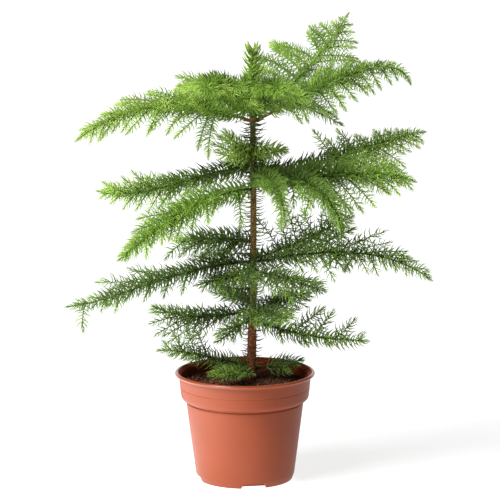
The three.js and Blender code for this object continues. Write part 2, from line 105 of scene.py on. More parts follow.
# The whorls from the top down, with their boughs much as in the part's source
WHORLS = {
    "top": Whorl(
        height=393, hang=0.55, pitch=12, clear=0.1, youth_and_light=1.6, needle=0.94, spacing=0.66, thick=1.3,
        boughs={
            "right": Bough(
                azimuth=10, reach=170, lift=36, rise=24, droop=-70, width=(0.5, 0.6), angle=(60, 82), lean=50,
                brush=(1.1, 0.9, 0.5), brown=0.15, youth_and_light=-0.55,
                strays=(
                    (0.26, 62, 26, 44, 0.2), (0.34, 66, 36, 44, 0.2), (0.43, 68, 38, 40, 0.2),
                    (0.52, 62, 34, 36, 0.2), (0.62, 58, 24, 28, 0.2),
                ),
            ),
            "back_right": Bough(
                azimuth=57, reach=195, lift=96, rise=18, droop=40, width=(1.75, 1.2), angle=(70, 56), lean=30,
                pitch=14, taper=0.95, slack=30, brush=(0.9, 0.75, 0.5), youth_and_light=-0.4,
            ),
            # Its needles are set brighter, as painted light falling on its top from above.
            "back_left": Bough(azimuth=128, reach=140, lift=8, rise=28, droop=-15, level=4, youth_and_light=0.7),
            "left": Bough(
                azimuth=188, reach=187, lift=-18, rise=24, droop=-38, level=-2, width=(0.85, 0.95), angle=(58, 50),
                lean=32, pitch=13, brush=(1.4, 0.85, 0.5), sparse=1.2, youth_and_light=0.5,
                strays=(
                    (0.2, 200, -80, 52, 0.9), (0.22, 190, -70, 46, 1.0), (0.04, 214, 14, 62), (0.1, 228, 16, 58),
                    (0.16, 236, 18, 58), (0.22, 226, 12, 60), (0.28, 234, 10, 54), (0.34, 222, 8, 56),
                ),
            ),
            "front_left": Bough(
                azimuth=250, reach=150, lift=44, rise=34, droop=-16, width=(0.9, 1.2), slack=26,
                brush=(1.7, 1.5, 0.5), needle=1.3, strays=((0.2, 272, 28, 72), (0.3, 262, 14, 64)),
            ),
            "front_right": Bough(
                azimuth=282, reach=132, lift=47, rise=36, droop=-14, width=(1.2, 0.9), slack=26,
                brush=(1.5, 1.3, 0.5), needle=1.3, youth_and_light=-0.5, strays=((0.25, 266, 24, 68),),
            ),
        },
    ),
    "upper": Whorl(
        height=322, hang=0.5, pitch=13, clear=0.02, youth_and_light=0.7, needle=1.08, spacing=0.98, thick=1.3,
        boughs={
            # Its outer twigs are set brighter, as painted light on twigs that stand in the top whorl's shade.
            "back_right": Bough(
                azimuth=22, reach=200, lift=36, rise=0, droop=4, level=13, width=(0.72, 1.0), angle=(102, 58),
                lean=46, pitch=9, bare=0.42, slack=30, brush=(1.5, 0.9, 0.42), youth_and_light=0.5, fresh_and_lit=2.5,
            ),
            "back": Bough(
                azimuth=96, reach=118, lift=14, rise=14, droop=-6, level=10, width=(0.8, 0.8), pitch=17,
                brush=(0.8, 0.7, 0.8), needle=1.2, youth_and_light=0.4,
                # Most of these strays take the newest tone, as painted light on twigs in the top whorl's shade.
                strays=(
                    (348, 168, 20, 46, 2.7), (350, 165, 42, 42, 2.7), (362, 326, -4, 42, 2.7),
                    (340, 10, -6, 38, -0.4), (352, 185, 30, 42, 2.7), (358, 344, 4, 36, 2.7),
                    (354, 212, 34, 46, 2.7), (346, 206, 16, 46, 2.7), (352, 322, 14, 44, 2.7),
                ),
            ),
            "back_left": Bough(
                azimuth=163, reach=176, lift=-35, rise=-10, droop=12, level=15, width=(0.5, 0.95), angle=(66, 48),
                lean=42, pitch=18, bare=0.4, taper=0.5, brush=(1.45, 0.75, 0.45), sparse=1.15, youth_and_light=0.15, fresh_and_lit=1.6,
                strays=(
                    (0.22, 222, -46, 26, -0.3), (0.32, 215, -42, 32, -0.2), (0.44, 210, -40, 34, 0.0),
                    (0.8, 178, 25, 30, 1.7), (0.7, 174, 34, 28, 1.7), (0.62, 172, 36, 32, 1.5),
                ),
            ),
            "front_left": Bough(
                azimuth=212, reach=163, lift=-61, rise=1, droop=-31, level=-4, width=(0.72, 0.9), angle=(56, 52),
                brush=(1.5, 1.0, 0.45), youth_and_light=0.8,
                strays=(
                    (0.26, 262, 4, 28, 1.0), (0.42, 256, -2, 30, 1.0), (0.6, 264, 2, 28, 1.0), (0.1, 300, -80, 40),
                ),
            ),
            # These two front boughs are set darker, for old needles and as painted shade from the whorl above.
            "front": Bough(
                azimuth=284, reach=132, lift=-26, rise=24, droop=-84, width=(0.36, 0.36), bare=0.36,
                brush=(1.25, 0.9, 0.5), youth_and_light=-0.3, fresh_and_lit=1.0, strays=((0.72, 300, -82, 38, 1.0),),
            ),
            "front_right": Bough(
                azimuth=310, reach=140, lift=-32, rise=36, droop=-85, level=1, width=(0.5, 0.5), bare=0.36,
                brush=(1.3, 1.1, 0.45), youth_and_light=-0.3, fresh_and_lit=1.0, strays=((0.6, 240, -60, 36, 0.9),),
            ),
            "right": Bough(
                azimuth=348, reach=172, lift=4, rise=1, droop=-18, level=4, width=(0.95, 1.2), angle=(60, 52),
                lean=32, pitch=12, brush=(1.4, 1.0, 0.42), youth_and_light=0.6, strays=((0.23, 290, -78, 30),),
            ),
        },
    ),
    "middle": Whorl(
        height=240, hang=0.35, pitch=13, clear=0.02, youth_and_light=0.2, needle=1.12, spacing=1.18, thick=1.25,
        boughs={
            "back_right": Bough(
                azimuth=44, reach=152, lift=28, rise=5, droop=10, level=4, width=(1.3, 0.9), angle=(70, 58), lean=46,
                pitch=14, brush=(1.2, 1.05, 0.6), sparse=1.4, youth_and_light=0.3,
            ),
            "back_left": Bough(
                azimuth=158, reach=84, lift=-3, rise=2, droop=-6, level=19, width=(1.25, 0.7), lean=50, bare=0.1,
                slack=60, brush=(1.45, 1.3, 0.45), needle=1.1, youth_and_light=-0.2,
                strays=(
                    (0.15, 210, -24, 34, 0.0), (0.4, 214, -32, 32, 0.0),
                    (0.65, 206, -30, 34, 0.1), (0.9, 200, -40, 32, 0.1),
                ),
            ),
            "left": Bough(
                azimuth=190, reach=200, lift=-43, rise=-2, droop=-4, level=-6, width=(0.5, 0.75), angle=(60, 44),
                lean=30, pitch=20, bare=0.26, brush=(1.3, 0.85, 0.5), fresh_and_lit=0.8,
                strays=(
                    (0.9, 200, -85, 30), (0.52, 172, -2, 64, 0.7), (0.44, 166, 9, 46), (0.68, 214, -56, 24),
                    (0.78, 210, -60, 15, 0.8), (246, 196, 2, 52, 0.1), (0.14, 178, 8, 38, -0.5),
                    (0.2, 196, -8, 36, -0.5), (0.08, 186, 10, 46, -0.5),
                ),
            ),
            "front_left": Bough(
                azimuth=204, reach=66, lift=-6, rise=2, droop=-10, level=-16, width=(1.1, 0.9), angle=(60, 60),
                pitch=12, bare=0.1, slack=60, needle=1.1, sparse=1.5, youth_and_light=-0.2,
                strays=((217, 192, 6, 46, -0.1), (207, 192, 6, 45, -0.1), (195, 192, 13, 47, 0.0)),
            ),
            "front": Bough(
                azimuth=262, reach=62, lift=-10, rise=-4, droop=-10, level=-8, width=(1.1, 1.1), pitch=15, bare=0.08,
                slack=30, brush=(1.2, 1.1, 1.0), needle=1.15, sparse=1.9, youth_and_light=-0.5, strays=((0.15, 192, -20, 44),),
            ),
            "front_right": Bough(
                azimuth=312, reach=112, lift=-8, rise=-4, droop=-6, level=-8, width=(1.0, 1.1), angle=(52, 60),
                bare=0.06, slack=40, brush=(1.1, 0.9, 0.8), needle=1.1, sparse=1.9, youth_and_light=-0.55,
                strays=((0.08, 345, -10, 48), (0.1, 320, -30, 50)),
            ),
            "right": Bough(
                azimuth=357, reach=189, lift=-18, rise=12, droop=-38, level=-3, width=(1.25, 0.6), angle=(44, 76),
                lean=34, pitch=14, bare=0.12, taper=0.9, slack=20, brush=(1.2, 0.9, 0.5), sparse=1.35, youth_and_light=0.3,
                fresh_and_lit=2.3, strays=((0.48, 235, -18, 36), (0.56, 240, -28, 32)),
            ),
        },
    ),
    "lower": Whorl(
        height=178, hang=0.4, pitch=12, clear=0.02, youth_and_light=0.1, needle=1.1, spacing=1.3, thick=1.25,
        boughs={
            "back_right": Bough(azimuth=55, reach=111, lift=2, rise=4, droop=-4, level=9),
            "back": Bough(azimuth=112, reach=85, lift=6, rise=10, droop=-2, level=10),
            "left": Bough(
                azimuth=165, reach=110, lift=-2, rise=-18, droop=22, level=3, width=(1.5, 1.0), angle=(46, 60),
                slack=40, brush=(1.2, 1.0, 0.45), youth_and_light=0.2,
            ),
            "front_left": Bough(
                azimuth=222, reach=52, lift=-16, rise=4, droop=0, level=-4, strays=((0.3, 188, -20, 30),),
            ),
            "front": Bough(
                azimuth=294, reach=90, lift=8, rise=16, droop=-5, width=(1.0, 1.1), pitch=15, bare=0.06, slack=30,
                brush=(1.2, 1.0, 0.9), needle=1.15, sparse=1.7, youth_and_light=-0.1,
                strays=((0.1, 345, 8, 46), (0.2, 215, 0, 30)),
            ),
            "right": Bough(
                azimuth=350, reach=123, lift=-19, rise=-20, droop=-2, level=-1, width=(1.15, 0.6), angle=(66, 66),
                lean=44, hang=-0.5, pitch=22, brush=(1.3, 1.05, 0.45), needle=1.15, sparse=0.75, youth_and_light=0.45,
            ),
        },
    ),
    "low": Whorl(
        height=124, hang=0, pitch=12, clear=0.02, youth_and_light=0.5, needle=1.08, spacing=1.05, thick=1.1,
        boughs={
            "left": Bough(
                azimuth=174, reach=99, lift=15, rise=10, droop=-4, level=2, width=(0.7, 1.5), lean=46, hang=-0.5,
                pitch=14, bare=0.42, brush=(1.3, 1.0, 0.45),
            ),
            "front_left": Bough(
                azimuth=246, reach=52, lift=3, rise=16, droop=-10, level=-7, width=(0.9, 1.7), pitch=11, taper=0.5,
                slack=40, brush=(1.0, 0.9, 0.8), needle=0.85, youth_and_light=-0.1,
                strays=((0.35, 194, 2, 34, 0.3), (0.6, 200, 4, 34, 0.3), (0.8, 196, 2, 28, 0.3)),
            ),
            "right": Bough(
                azimuth=6, reach=52, lift=8, rise=6, droop=14, level=-8, width=(1.2, 1.2), bare=0.4, slack=30,
                brush=(1.3, 1.3, 0.4), clear=0.28, youth_and_light=-0.5,
            ),
        },
    ),
}

# Trunk and leader: where their middle line passes, as in the part's source, and where the trunk changes its girth
TRUNK_FOOT, TRUNK_TIP = 108.3, 404.0
TRUNK_X = {"foot": 6.5, "waist": 9.0, "tip": 8.0}
TRUNK_Y = 5.0
STOUT_TO, WAIST_FROM = 150, 252
KNOT = {"height": 5, "swelling": 0.5}
LEADER_HEIGHT = 68
LEADER_SUNK = 8

# Needles that still stand on the trunk: from, to, spacing, size, lean and tone of each stretch
TRUNK_NEEDLES = {
    "top": (330, 391, 0.42, 1.4, 82, "dark"),
    "upper": (246, 330, 0.75, 1.4, 84, "dark"),
    "middle": (182, 246, 0.45, 1.2, 80, "dark"),
    "close": (180, 240, 0.30, 0.8, 34, "mid"),
    "lower": (128, 182, 0.9, 1.3, 86, "dark"),
    "dry": (124, 170, 2.2, 1.35, 88, "dry"),
}

# Boughs: where they start, their handles by their reach, how they stagger, and the stretches of needles on them
BOUGH_INSET = 2
HANDLES = {"root": 0.45, "tip": 0.3}
STAGGER = 1.8
BOUGH_POINTS, FORK_POINTS, TWIG_POINTS = 24, 8, 9
FORK_SWELL = (1.4, 1.1)
BRUSH_ENDS = (0.3, 0.55, 0.8, 0.94, 1.0)
BRUSH_INNER, BRUSH_OUTER = 0.3, 0.8
BRUSH_AGE, BRUSH_RENEWAL = 0.5, 1.4
WIDEST_SPACE = 75

# Twigs: where they stand, how long they grow along the frond, and how much each one differs
FIRST_TWIG, LAST_TWIG = 9, 0.95
PAIR_PLACES = {-1: 0.8, 1: 0.3}
FROND_FOOT, FROND_SWELL, FROND_FULL = 0.45, 1.2, 1.25
FROND_EXTRA = 10
LENGTH_CHANCE = (-0.25, 0.18)
ANGLE_CHANCE = (-10, 10)
ROLL_CHANCE = (-4, 24)
SAG_CHANCE = (-0.18, 0.18)
CUTS = (1, 0.8, 0.62, 0.46)
CUT_PROBES = (0.35, 0.7, 1)
SHORTEST_TWIG = 9
STRAY_BOW = 4
TWIG_GIRTH = (0.7, 0.35)
TUFT_LENGTH, TUFT_START_LEAST = 12, 0.4
TWIG_YOUTH_CHANCE = (-0.4, 0.4)

# Needles: their tones by age and by painted light and shade, and how they close in and shorten towards a shoot's tip
TONES = ("dark", "mid", "light", "young")
TONE_CHANCE = (-0.2, 0.2)
SHOOT_STEP = 4
TIP_DISTANCES = (0, 5, 11, 18)
TIP_LEANS = (0.1, 0.3, 0.65, 1.0)
TIP_SIZES = (0.4, 0.6, 0.85, 1.0)

# Single needles and crumbs: how much each one differs, and the needles' few faces
TURN_CHANCE, LEAN_CHANCE, SIZE_CHANCE = (-0.25, 0.25), (0.88, 1.12), (0.82, 1.1)
NEEDLE_SIDES, NEEDLE_POINTS = 3, 3
TIP_WIDTH, TIP_TAPER = 0.03, 3.0
CRUMB_LEAST, CRUMB_MOST = (0.35, 0.3, 0.25), (1.6, 1.0, 0.8)

# Values that guide the growth, and that no finished mesh needs
GUIDES = ("girth", "size", "lean", "spacing", "radius", "tilt")


# Properties


def number_property(name, description, default, **kind):
    return FloatProperty(name=name, description=description, default=default, **kind)


def length_property(name, description, millimetres):
    return number_property(name, description, millimetres * MM, unit="LENGTH")


def angle_property(name, description, degrees):
    return number_property(name, description, math.radians(degrees), subtype="ANGLE")


def count_property(name, description, default):
    return IntProperty(name=name, description=description, default=default)


def colour_property(name, description, *linear):
    return FloatVectorProperty(
        name=name, description=description, default=linear, subtype="COLOR", size=3, min=0, max=1
    )


class PotSizes(bpy.types.PropertyGroup):
    """Sizes of the nursery pot."""

    height: length_property("Height", "From the floor to the rim", 118)
    rim: length_property("Rim radius", "Outside of the lip", 75.6)
    lip: length_property("Lip height", "Depth of the rolled lip", 4.2)
    wall: length_property("Wall", "Thickness of the wall", 1.6)
    soil_drop: length_property("Soil drop", "From the rim to the soil", 13)
    segments: count_property("Segments", "Faces round the pot", 144)


class FoliageSizes(bpy.types.PropertyGroup):
    """Sizes of twigs and needles."""

    twig_crowding: number_property("Twig crowding", "More twigs above 1, fewer below", 1.0)
    twig_share: number_property("Twig share", "Longest twig as a share of its frond", 0.36)
    twig_angle: angle_property("Twig angle", "Between a frond's first twigs and its stem", 64)
    tip_angle: angle_property("Tip angle", "Between a frond's last twigs and its stem", 42)
    lean_to_light: angle_property("Lean to light", "Turn of each frond's plane to the front", 22)
    twig_sag: number_property("Twig sag", "Fall of a twig's tip by its length", 0.3)
    needle_length: length_property("Needle length", "Full length", 11.8)
    needle_width: length_property("Needle width", "At its thickest", 1.0)
    needle_bow: length_property("Needle bow", "How far a needle bows out", 1.6)
    needle_crowding: number_property("Needle crowding", "More needles above 1, fewer below", 1.0)
    needle_lean: angle_property("Needle lean", "Between a needle and its shoot", 62)
    seed: count_property("Seed", "Picks one plant of many", 7)


class BarkSizes(bpy.types.PropertyGroup):
    """Sizes of trunk, boughs and their bark."""

    foot_radius: length_property("Trunk foot", "Radius above the soil", 4.9)
    waist_radius: length_property("Trunk waist", "Radius at half height", 3.4)
    tip_radius: length_property("Trunk tip", "Radius at the top whorl", 2.9)
    bough_root: length_property("Bough root", "Radius at the trunk", 1.4)
    bough_tip: length_property("Bough tip", "Radius at the tip", 0.5)
    relief: length_property("Bark relief", "Height of the bark's ridges", 0.6)


class PlantColours(bpy.types.PropertyGroup):
    """Base colours of every finish, in linear light."""

    needle_dark: colour_property("Old needles", "Inner and lower sprays", 0.098, 0.168, 0.032)
    needle_mid: colour_property("Grown needles", "Most sprays", 0.174, 0.298, 0.047)
    needle_light: colour_property("Fresh needles", "Outer sprays", 0.255, 0.425, 0.060)
    needle_young: colour_property("New needles", "Tips of the upper shoots", 0.390, 0.570, 0.110)
    needle_dry: colour_property("Dry needles", "Old needles low on the trunk", 0.115, 0.060, 0.028)
    bark: colour_property("Bark", "Foot of the trunk", 0.185, 0.047, 0.014)
    fork: colour_property("Fork bark", "Roots of the top boughs", 0.150, 0.062, 0.020)
    shoot: colour_property("Green bark", "Boughs and the top of the trunk", 0.055, 0.066, 0.015)
    pot: colour_property("Pot", "Terracotta-coloured plastic", 0.262, 0.051, 0.016)
    pot_inside: colour_property("Pot inside", "Stained by the soil", 0.262, 0.045, 0.018)
    soil: colour_property("Soil", "Moist peat", 0.060, 0.023, 0.011)
    floor: colour_property("Floor", "The stage", 0.30, 0.30, 0.30)


# Growth: paths of trunk, boughs and twigs


class Line:
    """A path through closely spaced points, read by the share of its length."""

    def __init__(self, points):
        self.points = np.asarray(points, float)
        steps = np.linalg.norm(np.diff(self.points, axis=0), axis=1)
        self.run = np.concatenate([[0.0], np.cumsum(steps)])
        self.length = self.run[-1]

    def at(self, share):
        where = np.asarray(share) * self.length
        return np.stack([np.interp(where, self.run, self.points[:, axis]) for axis in range(3)], axis=-1)

    def heading(self, share, step=0.01):
        return unit(self.at(min(share + step, 1)) - self.at(max(share - step, 0)))

    def stretch(self, start, end, count):
        return self.at(np.linspace(start, end, count))


def bezier(*handles, count=41):
    """The path of a Bezier curve with any number of handles."""
    layer = [np.asarray(handle, float)[None, :] for handle in handles]
    share = np.linspace(0, 1, count)[:, None]
    while len(layer) > 1:
        layer = [a * (1 - share) + b * share for a, b in zip(layer, layer[1:])]
    return Line(layer[0])


def unit(vector):
    return vector / np.linalg.norm(vector)


def outward(turn):
    """The level direction at a turn from the X axis."""
    return np.array([math.cos(turn), math.sin(turn), 0.0])


def slant(azimuth, climb, length):
    """A step of a length along an azimuth, climbing at an angle."""
    climb = math.radians(climb)
    return length * (math.cos(climb) * outward(math.radians(azimuth)) + math.sin(climb) * UP)


def level_right(heading):
    """The level direction to the right of a heading."""
    return unit(np.cross(heading, UP))


def either(own, shared):
    """A bough's own value, or else the one that it shares."""
    return shared if own is None else own


def trunk_at(height):
    """The middle of the trunk at a height."""
    share = (height - TRUNK_FOOT) / (TRUNK_TIP - TRUNK_FOOT)
    foot, waist, tip = TRUNK_X["foot"], TRUNK_X["waist"], TRUNK_X["tip"]
    bend = 2 * foot + 2 * tip - 4 * waist
    return np.array([foot + share * (tip - foot - bend) + share * share * bend, TRUNK_Y, height])


def trunk_radius(height, bark):
    """The trunk's radius at a height: stout to the lower whorl, then slender, with a swelling at each whorl."""
    radii = [bark.foot_radius, bark.waist_radius, bark.tip_radius]
    taper = np.interp(height, [STOUT_TO, WAIST_FROM, TRUNK_TIP], radii)
    knots = max(math.exp(-(((height - whorl.height) / KNOT["height"]) ** 2)) for whorl in WHORLS.values())
    return taper / MM + KNOT["swelling"] * knots


def bough_line(height, bough):
    """A bough's path from the middle of the trunk to its tip."""
    out = outward(math.radians(bough.azimuth))
    root = trunk_at(height + bough.level) + BOUGH_INSET * out
    tip = root + bough.reach * out + bough.lift * UP
    rise = slant(bough.azimuth, bough.rise, HANDLES["root"] * bough.reach)
    droop = slant(bough.azimuth, bough.droop, HANDLES["tip"] * bough.reach)
    return bezier(root, root + rise, tip - droop, tip)


def twig_line(stem, share, hand, length, angle, roll, sag):
    """A twig's path: it leaves the stem to one side, rolled out of the frond's plane, and sags to its tip."""
    heading = stem.heading(share)
    side = level_right(heading)
    over = np.cross(side, heading)
    out = side * hand * math.cos(roll) + over * math.sin(roll)
    lean = heading * math.cos(angle) + out * math.sin(angle)
    root = stem.at(share)
    return bezier(root, root + lean * length / 2, root + lean * length - UP * sag * length, count=TWIG_POINTS)


def frond_share(share, taper):
    """A twig's length as a share of the longest, by how far out along the frond it grows."""
    return FROND_FULL * min(1, FROND_FOOT + FROND_SWELL * share) * (1 - share) ** taper


def own_space(boughs, key):
    """A function that tells how far a point is inside the space that one bough's foliage keeps to."""
    own = boughs[key].azimuth
    turns = [(bough.azimuth - own) % 360 for other, bough in boughs.items() if other != key]
    ahead = math.radians(min(WIDEST_SPACE, min(turns) / 2))
    behind = math.radians(min(WIDEST_SPACE, (360 - max(turns)) / 2))

    def inside(point):
        away = (point - trunk_at(point[2]))[:2]
        turn = math.atan2(away[1], away[0]) - math.radians(own)
        off = math.atan2(math.sin(turn), math.cos(turn))
        return np.linalg.norm(away) * math.sin(min(ahead - off, behind + off, math.pi / 2))

    return inside


class Skeleton:
    """Chains of points that the node trees clothe, with named values at each point."""

    def __init__(self):
        self.points, self.edges, self.values = [], [], {}

    def chain(self, points, **values):
        first = len(self.points)
        self.points.extend(points)
        self.edges.extend((first + k, first + k + 1) for k in range(len(points) - 1))
        for name, value in values.items():
            self.values.setdefault(name, []).extend(np.broadcast_to(value, len(points)))

    def mesh(self, name):
        mesh = bpy.data.meshes.new(name)
        mesh.from_pydata([tuple(point * MM) for point in self.points], self.edges, [])
        for key, values in self.values.items():
            mesh.attributes.new(key, "FLOAT", "POINT").data.foreach_set("value", np.asarray(values, np.float32))
        return mesh


class Plant:
    """Every limb, twig and shoot of the plant, as skeletons sorted by whorl and tone."""

    def __init__(self, foliage, bark):
        self.foliage, self.bark = foliage, bark
        self.boughs = {whorl: Skeleton() for whorl in WHORLS}
        self.twigs = {whorl: Skeleton() for whorl in WHORLS}
        self.forks, self.shoots = Skeleton(), {}
        for number, whorl in enumerate(WHORLS):
            for k, key in enumerate(WHORLS[whorl].boughs):
                chance = random.Random(1000 * foliage.seed + 100 * number + k)
                self.grow_frond(whorl, key, (2 * k % 5 - 2) * STAGGER, chance)
        foot = trunk_at(TRUNK_TIP - LEADER_SUNK)
        self.leader = bezier(foot, foot + UP * (LEADER_HEIGHT / 2), foot + UP * (LEADER_HEIGHT + 2), count=21)

    def grow_frond(self, whorl, key, stagger, chance):
        """Grows a bough, the needles along it, its pairs of twigs and its strays."""
        layout = WHORLS[whorl]
        bough = layout.boughs[key]
        stem = bough_line(layout.height + stagger, bough)
        girth = np.linspace(self.bark.bough_root, self.bark.bough_tip, BOUGH_POINTS) / MM
        self.boughs[whorl].chain(stem.stretch(0, 1, BOUGH_POINTS), girth=girth)
        if whorl == "top":
            swell = np.linspace(*FORK_SWELL, FORK_POINTS)
            self.forks.chain(stem.stretch(0, bough.brown, FORK_POINTS), girth=swell * girth[0])
        inner, outer, close = bough.brush
        low = either(bough.clear, layout.clear)
        for high in BRUSH_ENDS:
            size = np.interp(low, [BRUSH_INNER, BRUSH_OUTER], [inner, outer])
            youth_and_light = bough.youth_and_light + BRUSH_RENEWAL * low - BRUSH_AGE
            self.clothe(whorl, stem, low, high, size, close, youth_and_light, chance)
            low = high
        inside = own_space(layout.boughs, key)
        first = max(FIRST_TWIG / stem.length, bough.bare)
        pitch = either(bough.pitch, layout.pitch) / self.foliage.twig_crowding
        pairs = max(2, round(stem.length * (LAST_TWIG - first) / pitch))
        for pair in range(pairs):
            for hand, place in PAIR_PLACES.items():
                share = first + (LAST_TWIG - first) * (pair + place) / pairs
                self.grow_twig(whorl, stem, share, hand, bough, inside, chance)
        for stray in bough.strays:
            self.grow_stray(whorl, stem, bough, chance, *stray)

    def grow_twig(self, whorl, stem, share, hand, bough, inside, chance):
        """Grows one twig of a frond, cut back until it keeps to the bough's own space, or none."""
        foliage, side = self.foliage, hand > 0
        hang = either(bough.hang, WHORLS[whorl].hang)
        longest = foliage.twig_share * bough.width[side] * (stem.length + FROND_EXTRA)
        longest *= frond_share(share, bough.taper)
        longest *= 1 + chance.uniform(*LENGTH_CHANCE)
        widest = math.radians(bough.angle[side]) if bough.angle else foliage.twig_angle
        angle = widest + (foliage.tip_angle - foliage.twig_angle) * share
        angle += math.radians(chance.uniform(*ANGLE_CHANCE))
        back = hand * level_right(stem.heading(share))[1]
        lean = math.radians(bough.lean) if bough.lean else foliage.lean_to_light
        roll = lean * back - hang * math.radians(chance.uniform(*ROLL_CHANCE))
        sag = hang * (foliage.twig_sag + chance.uniform(*SAG_CHANCE))
        for cut in CUTS:
            twig = twig_line(stem, share, hand, cut * longest, angle, roll, sag)
            if all(inside(twig.at(probe)) > -bough.slack for probe in CUT_PROBES):
                break
        else:
            return
        if twig.length > SHORTEST_TWIG:
            youth_and_light = bough.youth_and_light + bough.fresh_and_lit * share
            self.leaf_out(whorl, twig, youth_and_light, bough.needle, bough.sparse, chance)

    def grow_stray(self, whorl, stem, bough, chance, start, azimuth, climb, length, youth_and_light=0.5):
        """Grows a twig that stands apart, from a share of the stem or, above 1, from a height on the trunk."""
        root = trunk_at(start) if start > 1 else stem.at(start)
        lean = slant(azimuth, climb, length)
        bow = outward(math.radians(azimuth)) * STRAY_BOW
        twig = bezier(root, root + lean * 0.5 + bow, root + lean, count=TWIG_POINTS)
        self.leaf_out(whorl, twig, youth_and_light, bough.needle, 1.0, chance)

    def leaf_out(self, whorl, twig, youth_and_light, size, sparse, chance):
        """Adds a twig and its needles, older at its foot and newest in a close tuft at its tip."""
        self.twigs[whorl].chain(twig.points, girth=np.linspace(*TWIG_GIRTH, len(twig.points)))
        tuft = max(TUFT_START_LEAST, 1 - TUFT_LENGTH / twig.length)
        youth_and_light += chance.uniform(*TWIG_YOUTH_CHANCE)
        stretches = ((0.02, 0.5 * tuft, 0.0, 1.0), (0.5 * tuft, tuft, 0.35, 1.0), (tuft, 1, 0.8, 0.75))
        for low, high, newer, closer in stretches:
            self.clothe(whorl, twig, low, high, size, closer * sparse, youth_and_light + newer, chance)

    def clothe(self, whorl, line, low, high, size, sparse, youth_and_light, chance):
        """Sets needles of one tone along part of a path, closing in and shortening towards its tip."""
        layout = WHORLS[whorl]
        level = layout.youth_and_light + youth_and_light + chance.uniform(*TONE_CHANCE)
        tone = TONES[int(np.clip(round(level), 0, len(TONES) - 1))]
        shares = np.linspace(low, high, max(3, int((high - low) * line.length / SHOOT_STEP) + 1))
        from_tip = (1 - shares) * line.length
        lean = np.interp(from_tip, TIP_DISTANCES, TIP_LEANS) * self.foliage.needle_lean
        sizes = np.interp(from_tip, TIP_DISTANCES, TIP_SIZES) * layout.needle * size
        shoots = self.shoots.setdefault((whorl, tone), Skeleton())
        shoots.chain(line.at(shares), lean=lean, size=sizes, spacing=sparse * layout.spacing)


@functools.cache
def plant():
    """The plant, grown once for all operators."""
    scene = bpy.context.scene
    return Plant(scene.plant_foliage, scene.plant_bark)


# Node trees


class NodeTree:
    """A node tree that is built node by node."""

    def __init__(self, tree):
        self.tree = tree

    def add(self, kind, inputs=None, **settings):
        """Adds a node and gives its first live output. Inputs are keyed by name or by place."""
        node = self.tree.nodes.new(kind)
        for name, value in settings.items():
            setattr(node, name, value)
        for key, value in (inputs or {}).items():
            if isinstance(value, bpy.types.NodeSocket):
                self.tree.links.new(value, node.inputs[key])
            else:
                node.inputs[key].default_value = value
        return next(output for output in node.outputs if output.enabled)


class Graph(NodeTree):
    """A geometry node tree with named inputs."""

    def __init__(self, name, **inputs):
        super().__init__(bpy.data.node_groups.new(name, "GeometryNodeTree"))
        for label, kind in {"Geometry": "Geometry", **inputs}.items():
            self.tree.interface.new_socket(label, in_out="INPUT", socket_type="NodeSocket" + kind)
        self.tree.interface.new_socket("Geometry", in_out="OUTPUT", socket_type="NodeSocketGeometry")
        self.given = self.tree.nodes.new("NodeGroupInput").outputs

    def math(self, operation, *values):
        return self.add("ShaderNodeMath", dict(enumerate(values)), operation=operation)

    def attribute(self, name):
        return self.add("GeometryNodeInputNamedAttribute", {"Name": name}, data_type="FLOAT")

    def chance(self, low, high, seed):
        """A random number or, between two triples, a random triple."""
        if isinstance(low, tuple):
            return self.add("FunctionNodeRandomValue", {0: low, 1: high, "Seed": seed}, data_type="FLOAT_VECTOR")
        return self.add("FunctionNodeRandomValue", {2: low, 3: high, "Seed": seed}, data_type="FLOAT")

    def turn(self, rotation, axis, angle):
        by = self.add("FunctionNodeAxisAngleToRotation", {"Axis": axis, "Angle": angle})
        inputs = {"Rotation": rotation, "Rotate By": by}
        return self.add("FunctionNodeRotateRotation", inputs, rotation_space="LOCAL")

    def ring(self, sides):
        inputs = {"Resolution": sides, "Radius": 1.0}
        return self.add("GeometryNodeCurvePrimitiveCircle", inputs, mode="RADIUS")

    def tube(self, line, ring, girth):
        inputs = {"Curve": line, "Profile Curve": ring, "Scale": girth, "Fill Caps": True}
        return self.add("GeometryNodeCurveToMesh", inputs)

    def strew(self, points, instance, rotation, scale):
        inputs = {"Points": points, "Instance": instance, "Rotation": rotation, "Scale": scale}
        return self.add("GeometryNodeInstanceOnPoints", inputs)

    def finish(self, geometry):
        """Ends the tree: instances made real, shaded smooth and given their material."""
        real = self.add("GeometryNodeRealizeInstances", {"Geometry": geometry})
        smooth = self.add("GeometryNodeSetShadeSmooth", {"Geometry": real})
        dressed = self.add("GeometryNodeSetMaterial", {"Geometry": smooth, "Material": self.given["Material"]})
        self.tree.links.new(dressed, self.tree.nodes.new("NodeGroupOutput").inputs["Geometry"])
        return self.tree


